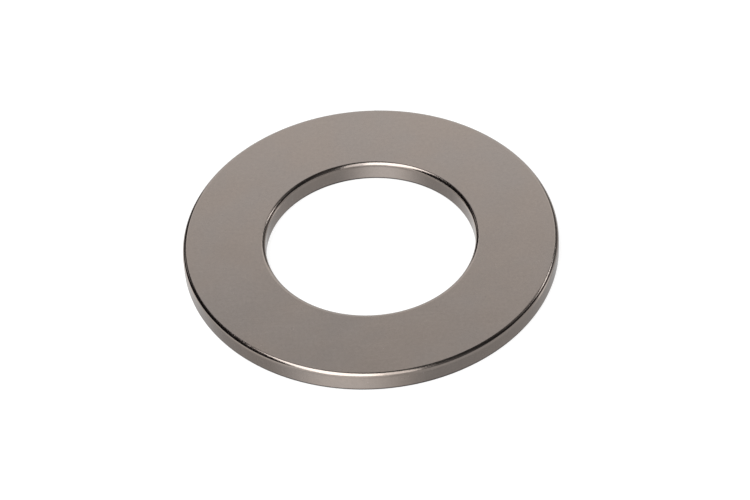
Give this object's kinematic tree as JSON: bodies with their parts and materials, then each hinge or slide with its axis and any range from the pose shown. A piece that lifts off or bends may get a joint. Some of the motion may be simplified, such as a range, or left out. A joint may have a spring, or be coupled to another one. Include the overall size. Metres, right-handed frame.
{
  "type": "flat washer",
  "caption": "Flat steel washer with a round hole, parallel faces and rounded edges; spreads a bolt's load.",
  "frame": {"origin": "centre of the underside, on the axis of the bolt hole", "axes": "+Z along the bolt, from the underside to the upper face"},
  "size_m": [0.034, 0.034, 0.002],
  "materials": {
    "steel": "satin, tumbled bare steel"
  },
  "bodies": {
    "root": {"washer": "steel"}
  },
  "joints": []
}
